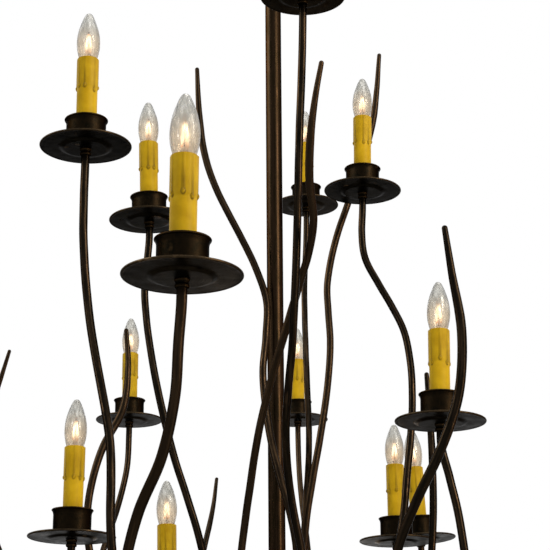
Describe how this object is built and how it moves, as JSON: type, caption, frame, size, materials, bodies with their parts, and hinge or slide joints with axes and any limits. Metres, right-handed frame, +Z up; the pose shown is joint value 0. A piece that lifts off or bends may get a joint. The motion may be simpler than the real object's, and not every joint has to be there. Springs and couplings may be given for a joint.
{
  "type": "branch chandelier",
  "caption": "Branch chandelier: bent bronze rods rise from a hub on a hanging pole, each lamp rod ending in a drip dish, cup, golden drip sleeve and candle bulb.",
  "frame": {"origin": "middle of the crossbar's upper face, where it meets the outlet box in the ceiling and the hanging axis passes", "axes": "+Z up, +X to the right and +Y away from the viewer in the picture"},
  "size_m": [2.1466, 2.0638, 2.1166],
  "materials": {
    "zinc_steel": "zinc plated",
    "bronze_sheet": "dark bronze, hand rubbed",
    "bronze_turned": "dark bronze, hand rubbed",
    "bronze_pole": "dark bronze with long brown streaks",
    "bronze_rod": "dark bronze with long brown streaks",
    "bronze_dish": "dark bronze, satin",
    "bronze_cup": "dark bronze, satin",
    "black_phenolic": "moulded, matte",
    "wax_sleeve": "golden candle sleeve, satin",
    "clear_glass": "clear",
    "lamp_brass": "rolled screw shell",
    "lamp_filament": "glowing filament on its stem"
  },
  "bodies": {
    "ceiling_mount": {"crossbar": "zinc_steel", "threaded_nipple": "zinc_steel", "nipple_locknut": "zinc_steel", "screw_loop": "bronze_turned"},
    "collar": {"collar_ring": "bronze_turned"},
    "canopy": {"canopy": "bronze_sheet"},
    "link": {"link": "bronze_turned"},
    "fixture": {"pole_eye": "bronze_turned", "pole": "bronze_pole", "pole_bushing": "zinc_steel", "centre_rod": "zinc_steel", "hub_top": "bronze_turned", "set_screws": "zinc_steel", "hub_body": "bronze_turned", "hub_cover": "bronze_turned", "cover_nut": "zinc_steel", "arm_01": "bronze_rod", "arm_02": "bronze_rod", "arm_03": "bronze_rod", "arm_04": "bronze_rod", "arm_05": "bronze_rod", "arm_06": "bronze_rod", "arm_07": "bronze_rod", "arm_08": "bronze_rod", "arm_09": "bronze_rod", "arm_10": "bronze_rod", "arm_11": "bronze_rod", "arm_12": "bronze_rod", "arm_13": "bronze_rod", "arm_14": "bronze_rod", "arm_15": "bronze_rod", "arm_16": "bronze_rod", "arm_17": "bronze_rod", "arm_18": "bronze_rod", "arm_19": "bronze_rod", "arm_20": "bronze_rod", "arm_21": "bronze_rod", "arm_22": "bronze_rod", "arm_23": "bronze_rod", "arm_24": "bronze_rod", "left_twigs": "bronze_rod", "right_twigs": "bronze_rod", "front_twigs": "bronze_rod", "back_twigs": "bronze_rod", "drip_dishes": "bronze_dish", "arm_collars": "bronze_turned", "candle_stems": "zinc_steel", "candle_cups": "bronze_cup", "cup_nuts": "zinc_steel", "socket_brackets": "zinc_steel", "socket_shells": "black_phenolic", "candle_sleeves": "wax_sleeve", "bulb_glasses": "clear_glass", "bulb_bases": "lamp_brass", "bulb_filaments": "lamp_filament"},
    "finial": {"finial": "bronze_turned"}
  },
  "joints": [
    {"name": "collar_drop", "type": "slide", "parent": "ceiling_mount", "child": "collar", "axis": [0, 0, -1], "range_m": [0, 0.018]},
    {"name": "canopy_drop", "type": "slide", "parent": "ceiling_mount", "child": "canopy", "axis": [0, 0, -1], "range_m": [0, 0.018]},
    {"name": "link_sway", "type": "hinge", "parent": "ceiling_mount", "child": "link", "pos_m": [0, 0, -0.0855], "axis": [0, 1, 0], "range_deg": [-12, 12]},
    {"name": "fixture_sway", "type": "hinge", "parent": "link", "child": "fixture", "pos_m": [0, 0, -0.1197], "axis": [1, 0, 0], "range_deg": [-12, 12]},
    {"name": "finial_unscrew", "type": "slide", "parent": "fixture", "child": "finial", "axis": [0, 0, -1], "range_m": [0, 0.04]}
  ],
  "couplings": [
    {"joint": "canopy_drop", "follows": "collar_drop", "ratio": 1}
  ]
}
